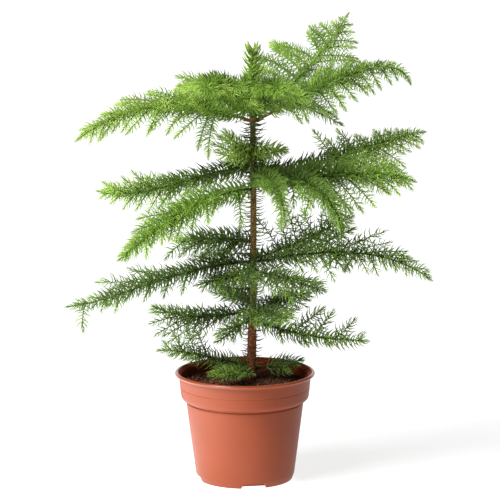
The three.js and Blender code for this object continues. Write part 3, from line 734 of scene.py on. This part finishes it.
@functools.cache
def needle_tree():
    """Needles in a spiral along every chain: each is an awl that bows out and turns in to its shoot's tip."""
    graph = Graph(
        "Needles along shoots", Crowding="Float", Length="Float", Width="Float", Bow="Float", Seed="Int",
        Material="Material",
    )
    given = graph.given
    shoots = graph.add("GeometryNodeMeshToCurve", {"Mesh": given["Geometry"]})
    spacing = graph.math("DIVIDE", graph.math("MULTIPLY", graph.attribute("spacing"), MM), given["Crowding"])
    points = graph.add("GeometryNodeCurveToPoints", {"Curve": shoots, "Length": spacing}, mode="LENGTH")
    index = graph.add("GeometryNodeInputIndex")
    uneven = graph.chance(*TURN_CHANCE, given["Seed"])
    spiral = graph.math("ADD", graph.math("MULTIPLY", index, GOLDEN_TURN), uneven)
    lean = graph.math("MULTIPLY", graph.attribute("lean"), graph.chance(*LEAN_CHANCE, seed=3))
    along = points.node.outputs["Rotation"]
    rotation = graph.turn(graph.turn(along, (0, 0, 1), spiral), (1, 0, 0), lean)
    bowed = {"Y": graph.math("MULTIPLY", given["Bow"], -2.0), "Z": graph.math("MULTIPLY", given["Length"], 0.5)}
    middle = graph.add("ShaderNodeCombineXYZ", bowed)
    end = graph.add("ShaderNodeCombineXYZ", {"Z": given["Length"]})
    handles = {"Resolution": 2, "Start": (0, 0, 0), "Middle": middle, "End": end}
    line = graph.add("GeometryNodeCurveQuadraticBezier", handles)
    line = graph.add("GeometryNodeResampleCurve", {"Curve": line, "Count": NEEDLE_POINTS}, mode="COUNT")
    share = graph.add("GeometryNodeSplineParameter")
    taper = graph.math("SUBTRACT", 1 + TIP_WIDTH, graph.math("POWER", share, TIP_TAPER))
    girth = graph.math("MULTIPLY", taper, graph.math("MULTIPLY", given["Width"], 0.5))
    awl = graph.tube(line, graph.ring(NEEDLE_SIDES), girth)
    size = graph.math("MULTIPLY", graph.attribute("size"), graph.chance(*SIZE_CHANCE, seed=5))
    return graph.finish(graph.strew(points, awl, rotation, size))


@functools.cache
def bark_tree():
    """Round limbs along every chain, as thick as their girth, with the bark's ridges raised on them."""
    graph = Graph("Barked limbs", Step="Float", Sides="Int", Relief="Float", Grain="Float", Material="Material")
    given = graph.given
    chains = graph.add("GeometryNodeMeshToCurve", {"Mesh": given["Geometry"]})
    lines = graph.add("GeometryNodeResampleCurve", {"Curve": chains, "Length": given["Step"]}, mode="LENGTH")
    girth = graph.math("MULTIPLY", graph.attribute("girth"), MM)
    limbs = graph.tube(lines, graph.ring(given["Sides"]), girth)
    ridges = graph.add("ShaderNodeTexNoise", {"Scale": given["Grain"], "Detail": 3.0, "Roughness": 0.6})
    height = graph.math("MULTIPLY", graph.math("SUBTRACT", ridges, 0.5), graph.math("MULTIPLY", given["Relief"], 2.0))
    normal = graph.add("GeometryNodeInputNormal")
    offset = graph.add("ShaderNodeVectorMath", {0: normal, "Scale": height}, operation="SCALE")
    return graph.finish(graph.add("GeometryNodeSetPosition", {"Geometry": limbs, "Offset": offset}))


@functools.cache
def crumb_tree():
    """Crumbs of soil strewn over a surface, each turned and stretched its own way."""
    graph = Graph("Crumbs on soil", Density="Float", Size="Float", Seed="Int", Material="Material")
    given = graph.given
    spots = {"Mesh": given["Geometry"], "Density": given["Density"], "Seed": given["Seed"]}
    points = graph.add("GeometryNodeDistributePointsOnFaces", spots, distribute_method="RANDOM")
    crumb = graph.add("GeometryNodeMeshIcoSphere", {"Radius": given["Size"], "Subdivisions": 1})
    euler = graph.chance((0, 0, 0), (math.tau,) * 3, seed=2)
    rotation = graph.add("FunctionNodeEulerToRotation", {"Euler": euler})
    stretch = graph.chance(CRUMB_LEAST, CRUMB_MOST, seed=4)
    return graph.finish(graph.strew(points, crumb, rotation, stretch))


def plain_mesh(holder):
    """The mesh that an object's modifiers make, freed of the object."""
    graph = bpy.context.evaluated_depsgraph_get()
    mesh = bpy.data.meshes.new_from_object(holder.evaluated_get(graph), depsgraph=graph)
    bpy.data.objects.remove(holder)
    return mesh


def linked(name, data):
    """A new object in the scene."""
    made = bpy.data.objects.new(name, data)
    bpy.context.scene.collection.objects.link(made)
    return made


def grown(name, skeleton, tree, **values):
    """The plain mesh that a node tree makes of a skeleton."""
    holder = linked(name, skeleton)
    modifier = holder.modifiers.new(tree.name, "NODES")
    modifier.node_group = tree
    sockets = {item.name: item.identifier for item in tree.interface.items_tree if item.in_out == "INPUT"}
    for key, value in values.items():
        modifier[sockets[key]] = value
    mesh = plain_mesh(holder)
    bpy.data.meshes.remove(skeleton)
    for key in [attribute.name for attribute in mesh.attributes if attribute.name in GUIDES]:
        mesh.attributes.remove(mesh.attributes[key])
    if not mesh.polygons:
        raise RuntimeError(f"{name} has no faces")
    return mesh


def place(name, mesh, slot, *nodes):
    """Makes a finished mesh a piece of the plant that stands for some of its solids."""
    mesh.name = name
    piece = linked(name, mesh)
    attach(piece, "root")
    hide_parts(*nodes)


def nodes_of(kind, whorl):
    return [node for node in NODES if node.startswith(f"{kind}_{whorl}_")]


def place_limbs(name, skeleton, slot, nodes, finish, step, sides, relief, grain=420.0):
    """Places limbs with bark along a skeleton."""
    bark = bpy.context.scene.plant_bark
    mesh = grown(
        name, skeleton.mesh(name), bark_tree(), Step=step, Sides=sides, Relief=bark.relief * relief, Grain=grain,
        Material=finish,
    )
    place(name, mesh, slot, *nodes)


def place_needles(name, skeleton, nodes, finish, seed, thick=1.0):
    """Places needles along a skeleton."""
    foliage = bpy.context.scene.plant_foliage
    mesh = grown(
        name, skeleton.mesh(name), needle_tree(), Crowding=foliage.needle_crowding, Length=foliage.needle_length,
        Width=foliage.needle_width * thick, Bow=foliage.needle_bow, Seed=seed, Material=finish,
    )
    place(name, mesh, "needles", *nodes)


# Finishes


class Finish(NodeTree):
    """A material built from a principled shader and a few pattern nodes on Object coordinates."""

    def __init__(self, name, roughness, specular):
        self.material = bpy.data.materials.new(name)
        self.material.use_nodes = True
        super().__init__(self.material.node_tree)
        self.shader = self.tree.nodes["Principled BSDF"]
        self.shader.inputs["Roughness"].default_value = roughness
        self.shader.inputs["Specular IOR Level"].default_value = specular
        self.place = self.add("ShaderNodeTexCoord").node.outputs["Object"]

    def drive(self, socket, value):
        self.tree.links.new(value, self.shader.inputs[socket])

    def noise(self, scale, detail, stretch=None):
        """An uneven grey pattern, drawn out along the axes."""
        place = self.place
        if stretch:
            place = self.add("ShaderNodeMapping", {"Vector": place, "Scale": stretch})
        return self.add("ShaderNodeTexNoise", {"Scale": scale, "Detail": detail, "Vector": place})

    def ramp(self, factor, *stops):
        """Colours or greys at places along a pattern's range."""
        ramp = self.add("ShaderNodeValToRGB", {"Fac": factor})
        elements = ramp.node.color_ramp.elements
        while len(elements) < len(stops):
            elements.new(0.5)
        for element, (position, tint) in zip(elements, stops):
            element.position = position
            element.color = (*tint, 1) if hasattr(tint, "__len__") else (tint, tint, tint, 1)
        return ramp

    def tint(self, pattern, colour, shades):
        """Gives the base colour in shades, each at its place along a pattern's range."""
        stops = [(position, shade(colour, factor)) for position, factor in shades.items()]
        self.drive("Base Color", self.ramp(pattern, *stops))

    def mix(self, factor, first, second, blend="MIX"):
        return self.add("ShaderNodeMix", {0: factor, 6: first, 7: second}, data_type="RGBA", blend_type=blend)

    def spread(self, socket, factor, low, high):
        """Lets a pattern carry one of the shader's values from low to high."""
        self.drive(socket, self.add("ShaderNodeMapRange", {"Value": factor, "To Min": low, "To Max": high}))

    def climb(self, low, high):
        """Nothing up to a low height, growing to one at a high one."""
        height = self.add("ShaderNodeSeparateXYZ", {"Vector": self.place}).node.outputs["Z"]
        return self.add("ShaderNodeMapRange", {"Value": height, "From Min": low, "From Max": high})

    def pool(self, centre, radius):
        """One at a centre, fading to nothing at a radius round it."""
        inputs = {"Vector": self.place, "Location": centre, "Scale": (radius, radius, radius)}
        place = self.add("ShaderNodeMapping", inputs, vector_type="TEXTURE")
        return self.add("ShaderNodeTexGradient", {"Vector": place}, gradient_type="SPHERICAL").node.outputs["Fac"]

    def bump(self, height, strength, distance):
        inputs = {"Strength": strength, "Distance": distance, "Height": height}
        self.drive("Normal", self.add("ShaderNodeBump", inputs))


def shade(colour, factor):
    return tuple(min(1.0, part * factor) for part in colour)


def needle_finish(name, colour):
    """Soft satin needles, a little uneven in colour from spray to spray."""
    finish = Finish(name, roughness=0.5, specular=0.25)
    drift = finish.noise(scale=90, detail=2.0)
    finish.tint(drift, colour, {0.3: 0.78, 0.7: 1.2})
    finish.spread("Roughness", drift, 0.42, 0.58)
    return finish.material


def bark_finish(name, low, high):
    """Bark that turns from brown at the soil to olive at the top, flecked with pale scars."""
    finish = Finish(name, roughness=0.8, specular=0.25)
    olive, dusk = shade(high, 2.0), shade(high, 1.35)
    pale = [0.65 * a + 0.35 * b for a, b in zip(low, shade(high, 2.4))]
    ground = finish.ramp(
        finish.climb(0.10, 0.40), (0.24, low), (0.28, olive), (0.46, olive), (0.51, pale), (0.68, pale), (0.85, dusk)
    )
    grain = finish.noise(scale=700, detail=4.0, stretch=(1, 1, 0.5))
    uneven = finish.mix(1.0, ground, finish.ramp(grain, (0.25, 0.45), (0.75, 1.5)), "MULTIPLY")
    scars = finish.noise(scale=420, detail=2.0, stretch=(1, 1, 2.2))
    flecks = finish.ramp(scars, (0.56, 0.0), (0.62, 0.75))
    finish.drive("Base Color", finish.mix(flecks, uneven, (0.42, 0.24, 0.15, 1)))
    finish.spread("Roughness", grain, 0.65, 0.95)
    finish.bump(grain, strength=0.5, distance=0.0006)
    return finish.material


def shoot_finish(name, colour):
    """Thin green bark of boughs and twigs, unevenly dark."""
    finish = Finish(name, roughness=0.7, specular=0.25)
    blotches = finish.noise(scale=300, detail=3.0)
    finish.tint(blotches, colour, {0.3: 0.6, 0.7: 1.3})
    finish.spread("Roughness", blotches, 0.55, 0.85)
    finish.bump(finish.noise(scale=900, detail=3.0), strength=0.4, distance=0.0004)
    return finish.material


def pot_finish(name, colour, smooth, gloss):
    """Moulded plastic: nearly even, with a faint cloud in the colour, fine grain and a satin sheen."""
    finish = Finish(name, roughness=smooth, specular=gloss)
    finish.tint(finish.noise(scale=22, detail=4.0), colour, {0.3: 0.93, 0.7: 1.05})
    grain = finish.noise(scale=1500, detail=3.0)
    finish.spread("Roughness", grain, smooth, smooth + 0.1)
    finish.bump(grain, strength=0.05, distance=0.0003)
    return finish.material


def soil_finish(name, colour):
    """Moist peat, from near black to brown, with a few paler fibres."""
    finish = Finish(name, roughness=0.9, specular=0.2)
    clods = finish.noise(scale=260, detail=5.0)
    finish.tint(clods, colour, {0.32: 0.3, 0.55: 1.2, 0.74: 4.0})
    finish.spread("Roughness", clods, 0.75, 1.0)
    finish.bump(finish.noise(scale=1200, detail=4.0), strength=0.8, distance=0.0008)
    return finish.material


def floor_finish(colour):
    """Pale matt studio paper that glows evenly, painting light into the shadows cast on it, and glows brighter in a
    painted pool of light beside the pot.
    """
    finish = Finish("studio_paper", roughness=0.95, specular=0.0)
    finish.tint(finish.noise(scale=3, detail=2.0), colour, {0.3: 0.995, 0.7: 1.0})
    # The floor glows white: painted light that fills the shadows on it, brighter in a glowing pool beside the pot
    # that also lights the pot's left side.
    finish.shader.inputs["Emission Color"].default_value = (1, 1, 1, 1)
    finish.spread("Emission Strength", finish.pool((-0.38, -0.14, 0.0), 0.46), 0.82, 6.4)
    return finish.material


# Pieces


def band(build, first, second):
    """Faces between two rings of vertices, either of which may be a single vertex."""
    count = max(len(first), len(second))
    for k in range(count):
        corners = ((first, k), (second, k), (second, k + 1), (first, k + 1))
        build.faces.new(list(dict.fromkeys(ring[i % len(ring)] for ring, i in corners)))


def built(name, build):
    """The mesh of a finished build."""
    mesh = bpy.data.meshes.new(name)
    build.to_mesh(mesh)
    build.free()
    return mesh


def turned_mesh(name, profile, segments):
    """A closed mesh turned round the Z axis from (radius, height) pairs that start and end on the axis."""
    build = bmesh.new()
    turns = [math.tau * k / segments for k in range(segments)]
    rings = [
        [build.verts.new((radius * math.cos(t), radius * math.sin(t), height)) for t in (turns if radius else [0])]
        for radius, height in profile
    ]
    for low, high in zip(rings, rings[1:]):
        band(build, low, high)
    bmesh.ops.recalc_face_normals(build, faces=build.faces)
    mesh = built(name, build)
    mesh.shade_smooth()
    return mesh


def rounded(profile, radius, steps=4, most=0.45):
    """A profile with each inner corner drawn as an arc that takes up at most a share of the sides beside it."""
    smooth = [profile[0]]
    for before, corner, after in zip(profile, profile[1:], profile[2:]):
        before, corner, after = Vector(before), Vector(corner), Vector(after)
        cut = min(radius, (before - corner).length * most, (after - corner).length * most)
        start = corner + (before - corner).normalized() * cut
        end = corner + (after - corner).normalized() * cut
        for k in range(steps + 1):
            t = k / steps
            smooth.append(tuple(start.lerp(corner, t).lerp(corner.lerp(end, t), t)))
    return [*smooth, profile[-1]]


# Pot: radius of its inside under the lip, and of its inner floor's edge, and the height of that floor
POT_MOUTH, POT_FLOOR_EDGE, POT_FLOOR = 0.0702, 0.0525, 0.010


def pot_profile(pot):
    """The pot's section, from the middle of its underside up the outside and down the inside."""
    top, rim, wall, under = pot.height, pot.rim, pot.wall, pot.height - pot.lip
    foot = [(0, 0), (0.0512, 0), (0.0535, 0.0065)]
    groove = [(0.0633, 0.0846), (0.0625, 0.0856), (0.0628, 0.0868)]
    collar = [(0.0672, 0.0884), (0.0688, 0.0906), (0.0693, 0.0934), (0.0701, 0.1013)]
    crease = [(0.0698, 0.1019), (0.0702, 0.1025), (0.0712, under)]
    lip = [(rim - 0.0014, under + 0.0004), (rim, under + 0.0018), (rim, top - 0.0012), (rim - 0.0012, top)]
    inside = [(0.0727, top), (POT_MOUTH - wall, under), (0.0686 - wall, 0.092), (0.0616 - wall, 0.085)]
    floor = [(POT_FLOOR_EDGE - wall, POT_FLOOR), (0, POT_FLOOR)]
    return rounded(foot + groove + collar + crease + lip + inside + floor, radius=0.0012)


# What is pressed into the pot's foot, four times round: distance out, half width, height and half depth
NOTCH_TURNS = tuple(math.radians(-79 + 90 * k) for k in range(4))
NOTCH = (0.0503, 0.0150, 0.0058, 0.011)
DRAIN = (0.0448, 0.004, 0.0085, 0.004)
NOTCH_BELOW, NOTCH_NARROWING = -0.004, 0.78
BLOCK_FACES = ((3, 2, 1, 0), (4, 5, 6, 7), (0, 1, 5, 4), (1, 2, 6, 5), (2, 3, 7, 6), (3, 0, 4, 7))


def notch_cutter():
    """Blocks that press the notches and drain holes into the pot's foot."""
    build = bmesh.new()
    for azimuth in NOTCH_TURNS:
        turn = Vector((math.cos(azimuth), math.sin(azimuth), 0))
        side = Vector((-turn.y, turn.x, 0))
        for out, width, height, depth in (NOTCH, DRAIN):
            corners = []
            for z, narrow in ((NOTCH_BELOW, 1.0), (height, NOTCH_NARROWING)):
                for a, b in ((-1, -1), (1, -1), (1, 1), (-1, 1)):
                    spot = turn * (out + a * depth) + side * b * width * narrow + Vector((0, 0, z))
                    corners.append(build.verts.new(spot))
            for face in BLOCK_FACES:
                build.faces.new([corners[c] for c in face])
    bmesh.ops.recalc_face_normals(build, faces=build.faces)
    return built("pot_notches", build)


class PLANT_OT_pot(bpy.types.Operator):
    """Turns the nursery pot and presses the notches into its foot"""

    bl_idname = "plant.pot"
    bl_label = "Pot"

    outside, stained, polished = range(3)
    stain_from, clean_rim = 0.02, 0.0015
    lip_width = 0.0032
    edge_width, edge_steps = 0.0005, 2

    def execute(self, context):
        pot, colours = context.scene.plant_pot, context.scene.plant_colours
        blank = linked("pot_blank", turned_mesh("pot_blank", pot_profile(pot), pot.segments))
        cutter = linked("pot_notches", notch_cutter())
        cut = blank.modifiers.new("Notches", "BOOLEAN")
        cut.operation, cut.object, cut.solver = "DIFFERENCE", cutter, "EXACT"
        soften = blank.modifiers.new("Soft edges", "BEVEL")
        soften.width, soften.segments, soften.limit_method = self.edge_width, self.edge_steps, "ANGLE"
        soften.angle_limit = math.radians(40)
        mesh = plain_mesh(blank)
        bpy.data.objects.remove(cutter)
        mesh.materials.clear()
        for name, colour, smooth, gloss in (
            ("terracotta_plastic", colours.pot, 0.40, 0.26),
            ("stained_plastic", colours.pot_inside, 0.65, 0.05),
            ("polished_lip", colours.pot, 0.18, 0.5),
        ):
            mesh.materials.append(pot_finish(name, colour, smooth, gloss))
        for face in mesh.polygons:
            face.material_index = self.finish_of(face, pot)
        mesh.shade_smooth()
        mesh.set_sharp_from_angle(angle=math.radians(35))
        place("nursery_pot", mesh, "pot", "pot")
        return {"FINISHED"}

    def finish_of(self, face, pot):
        """Which finish a face of the pot takes."""
        out, height = face.center.to_2d(), face.center.z
        if height > pot.height - pot.lip and out.length > pot.rim - self.lip_width:
            return self.polished
        inward = face.normal.to_2d().dot(out) < 0
        return self.stained if inward and self.stain_from < height < pot.height - self.clean_rim else self.outside


# Soil: its mound, the sizes of its clods as a fineness and a height, how it evens out at the wall, and its depth
SOIL_MOUND = 0.003
SOIL_CLODS = ((150, 0.0018), (420, 0.0013))
SOIL_EVEN_FROM = 0.93
SOIL_DEPTH, SOIL_TAPER = 0.012, 0.99


def soil_surface(radius, height, rings=60, segments=160):
    """The top of the soil: a low mound, broken into clods."""
    build = bmesh.new()
    previous = [build.verts.new((0, 0, height + SOIL_MOUND))]
    for ring in range(1, rings + 1):
        share = ring / rings
        even = 1 - max(0, (share - SOIL_EVEN_FROM) / (1 - SOIL_EVEN_FROM))
        verts = []
        for k in range(segments):
            turn = math.tau * k / segments
            spot = Vector((share * radius * math.cos(turn), share * radius * math.sin(turn), 0))
            clods = sum(noise.noise(spot * fineness) * tall for fineness, tall in SOIL_CLODS)
            spot.z = height + SOIL_MOUND * (1 - share) + clods * even
            verts.append(build.verts.new(spot))
        band(build, previous, verts)
        previous = verts
    foot = [build.verts.new((v.co.x * SOIL_TAPER, v.co.y * SOIL_TAPER, height - SOIL_DEPTH)) for v in previous]
    band(build, previous, foot)
    build.faces.new(foot[::-1])
    mesh = built("soil_surface", build)
    mesh.shade_smooth()
    return mesh


class PLANT_OT_soil(bpy.types.Operator):
    """Fills the pot with soil and strews crumbs over it"""

    bl_idname = "plant.soil"
    bl_label = "Soil"

    clearance = 0.0009
    crumb_share, crumb_lift = 0.97, 0.0003
    crumbs_per_square_metre, crumb_size, crumb_seed = 60000.0, 0.0019, 11

    def execute(self, context):
        pot, colours = context.scene.plant_pot, context.scene.plant_colours
        height = pot.height - pot.soil_drop
        radius = POT_MOUTH - pot.wall - self.clearance
        surface = soil_surface(radius, height)
        surface.materials.append(soil_finish("moist_peat", colours.soil))
        crumbs = grown(
            "soil_crumbs", soil_surface(radius * self.crumb_share, height + self.crumb_lift), crumb_tree(),
            Density=self.crumbs_per_square_metre, Size=self.crumb_size, Seed=self.crumb_seed,
            Material=soil_finish("peat_crumbs", shade(colours.soil, 1.15)),
        )
        place("soil_bed", surface, "soil", "soil")
        place("soil_crumbs", crumbs, "soil", "soil")
        return {"FINISHED"}


class PLANT_OT_trunk(bpy.types.Operator):
    """Raises the trunk, with its bark and the old needles that still stand on it"""

    bl_idname = "plant.trunk"
    bl_label = "Trunk"

    sunk = 3
    limb_points, shoot_points = 120, 20
    needle_seed = 21

    def execute(self, context):
        bark, colours = context.scene.plant_bark, context.scene.plant_colours
        limb = Skeleton()
        heights = np.linspace(TRUNK_FOOT - self.sunk, TRUNK_TIP, self.limb_points)
        limb.chain([trunk_at(h) for h in heights], girth=[trunk_radius(max(h, TRUNK_FOOT), bark) for h in heights])
        finish = bark_finish("trunk_bark", colours.bark, colours.shoot)
        place_limbs("trunk_bark", limb, "bark", ["trunk"], finish, step=0.0009, sides=40, relief=1.0, grain=330.0)
        for stretch, (low, high, spacing, size, lean, tone) in TRUNK_NEEDLES.items():
            name = f"trunk_needles_{stretch}"
            shoot = Skeleton()
            points = [trunk_at(h) for h in np.linspace(low, high, self.shoot_points)]
            shoot.chain(points, size=size, lean=math.radians(lean), spacing=spacing)
            finish = needle_finish(name, getattr(colours, f"needle_{tone}"))
            place_needles(name, shoot, ["trunk"], finish, self.needle_seed)
        return {"FINISHED"}


class PLANT_OT_boughs(bpy.types.Operator):
    """Grows the boughs and their twigs, whorl by whorl"""

    bl_idname = "plant.boughs"
    bl_label = "Boughs and twigs"

    def execute(self, context):
        colours = context.scene.plant_colours
        rind = shoot_finish("bough_bark", shade(colours.shoot, 0.7))
        green = shoot_finish("twig_bark", shade(colours.shoot, 0.9))
        brown = shoot_finish("fork_bark", colours.fork)
        thick = {"step": 0.002, "sides": 10, "relief": 0.6}
        thin = {"step": 0.005, "sides": 5, "relief": 0.2}
        place_limbs("forks_top", plant().forks, "bark", nodes_of("bough", "top"), brown, **thick)
        for whorl in WHORLS:
            limbs, masses = nodes_of("bough", whorl), nodes_of("foliage", whorl)
            place_limbs(f"boughs_{whorl}", plant().boughs[whorl], "shoot", limbs, rind, **thick)
            place_limbs(f"twigs_{whorl}", plant().twigs[whorl], "shoot", masses, green, **thin)
        return {"FINISHED"}


class PLANT_OT_needles(bpy.types.Operator):
    """Sets needles along every shoot, in a plain colour for each tone of spray, set by its age and by painted light
    and shade
    """

    bl_idname = "plant.needles"
    bl_label = "Needles"

    def execute(self, context):
        seed, colours = context.scene.plant_foliage.seed, context.scene.plant_colours
        finishes = {tone: needle_finish(f"needles_{tone}", getattr(colours, f"needle_{tone}")) for tone in TONES}
        for (whorl, tone), shoots in plant().shoots.items():
            name, masses = f"needles_{whorl}_{tone}", nodes_of("foliage", whorl)
            place_needles(name, shoots, masses, finishes[tone], seed, WHORLS[whorl].thick)
        return {"FINISHED"}


class PLANT_OT_leader(bpy.types.Operator):
    """Raises the young leading shoot and its close needles"""

    bl_idname = "plant.leader"
    bl_label = "Leader"

    tip_girth = 0.0012
    leans = (0, 6, 20, 70), (34, 40, 48, 60)
    sizes = (0, 5, 12, 70), (1.2, 1.4, 1.5, 1.5)
    buds, bud_turn, bud_share = 3, 0.2, 0.9
    bud_path = ((0, 0), (3, 3), (8, 6.5))
    needle_seed, needle_thick = 5, 1.7

    def execute(self, context):
        bark, colours = context.scene.plant_bark, context.scene.plant_colours
        stem = plant().leader
        shoot, needles = Skeleton(), Skeleton()
        shoot.chain(stem.points, girth=np.linspace(bark.tip_radius, self.tip_girth, len(stem.points)) / MM)
        shares = np.linspace(0.04, 1, 30)
        from_tip = (1 - shares) * stem.length
        lean, size = np.radians(np.interp(from_tip, *self.leans)), np.interp(from_tip, *self.sizes)
        needles.chain(stem.at(shares), lean=lean, size=size, spacing=0.62)
        root = stem.at(self.bud_share)
        for k in range(self.buds):
            out = outward(math.tau * k / self.buds + self.bud_turn)
            bud = bezier(*(root + UP * up + out * away for up, away in self.bud_path), count=5)
            needles.chain(bud.points, lean=math.radians(12), size=0.55, spacing=0.4)
        green = shoot_finish("leader_bark", colours.needle_mid)
        fresh_and_lit = needle_finish("leader_green", shade(colours.needle_young, 0.98))
        nodes = ["foliage_leader"]
        place_limbs("leader_shoot", shoot, "shoot", nodes, green, step=0.002, sides=12, relief=0.3)
        place_needles("leader_needles", needles, nodes, fresh_and_lit, self.needle_seed, self.needle_thick)
        return {"FINISHED"}


def aim(item, direction, axis):
    """Turns one of an item's axes along a direction."""
    item.rotation_mode = "QUATERNION"
    item.rotation_quaternion = Vector(direction).to_track_quat(axis, "Y")


class PLANT_OT_stage(bpy.types.Operator):
    """Lays the pale floor and sets the soft lights and the camera"""

    bl_idname = "plant.stage"
    bl_label = "Stage"

    floor_reach = 12
    sky_strength = 0.08
    key_origin, key_strength, key_softness = (-0.80, -0.62, 1.05), 5.0, 32
    panel_origin, panel_power, panel_size = (0.0, 8.0, 1.6), 150, (12.0, 3.2)
    target = (0.0054, 0, 0.2507)
    viewpoint = (0.0054, -2.9535, 0.7768)
    lens, sensor, sight = 201.6, 36, 100

    def execute(self, context):
        self.lay_floor(context.scene.plant_colours.floor)
        self.set_lights(context.scene)
        camera = bpy.data.cameras.new("view")
        camera.lens, camera.sensor_width, camera.clip_end = self.lens, self.sensor, self.sight
        viewer = linked("view", camera)
        viewer.location = self.viewpoint
        aim(viewer, Vector(self.target) - viewer.location, "-Z")
        context.scene.camera = viewer
        context.scene.view_settings.view_transform = "Standard"
        return {"FINISHED"}

    def lay_floor(self, colour):
        far = self.floor_reach
        mesh = bpy.data.meshes.new("studio_floor")
        mesh.from_pydata([(-far, -far, 0), (far, -far, 0), (far, far, 0), (-far, far, 0)], [], [(0, 1, 2, 3)])
        mesh.materials.append(floor_finish(colour))
        linked("studio_floor", mesh)

    def set_lights(self, scene):
        """Sets a faint white sky, a broad soft sun, and a lit panel that shows only in the gloss."""
        scene.world = bpy.data.worlds.new("studio")
        scene.world.use_nodes = True
        sky = scene.world.node_tree.nodes["Background"].inputs
        sky["Color"].default_value, sky["Strength"].default_value = (1, 1, 1, 1), self.sky_strength
        key = bpy.data.lights.new("key", "SUN")
        key.energy, key.angle = self.key_strength, math.radians(self.key_softness)
        aim(linked("key", key), self.key_origin, "Z")
        panel = bpy.data.lights.new("back_panel", "AREA")
        panel.shape, panel.energy = "RECTANGLE", self.panel_power
        panel.size, panel.size_y = self.panel_size
        lamp = linked("back_panel", panel)
        lamp.location, lamp.visible_camera = self.panel_origin, False
        aim(lamp, self.panel_origin, "Z")


class PLANT_PT_sidebar(bpy.types.Panel):
    """Lists the plant's pieces, sizes and colours"""

    bl_idname = "PLANT_PT_sidebar"
    bl_label = "Potted araucaria"
    bl_space_type = "VIEW_3D"
    bl_region_type = "UI"
    bl_category = "Plant"

    def draw(self, context):
        for operator in OPERATORS:
            self.layout.operator(operator.bl_idname)
        for name in GROUPS:
            group = getattr(context.scene, name)
            box = self.layout.box()
            for key in group.__annotations__:
                box.prop(group, key)


GROUPS = {
    "plant_pot": PotSizes,
    "plant_foliage": FoliageSizes,
    "plant_bark": BarkSizes,
    "plant_colours": PlantColours,
}
OPERATORS = (
    PLANT_OT_stage,
    PLANT_OT_pot,
    PLANT_OT_soil,
    PLANT_OT_trunk,
    PLANT_OT_boughs,
    PLANT_OT_needles,
    PLANT_OT_leader,
)
CLASSES = (*GROUPS.values(), *OPERATORS, PLANT_PT_sidebar)


def register():
    for group in CLASSES:
        bpy.utils.register_class(group)
    for name, group in GROUPS.items():
        setattr(bpy.types.Scene, name, PointerProperty(type=group))


def unregister():
    for name in GROUPS:
        delattr(bpy.types.Scene, name)
    for group in reversed(CLASSES):
        bpy.utils.unregister_class(group)


def main():
    register()
    for operator in OPERATORS:
        module, name = operator.bl_idname.split(".")
        getattr(getattr(bpy.ops, module), name)()


if __name__ == "__main__":
    main()
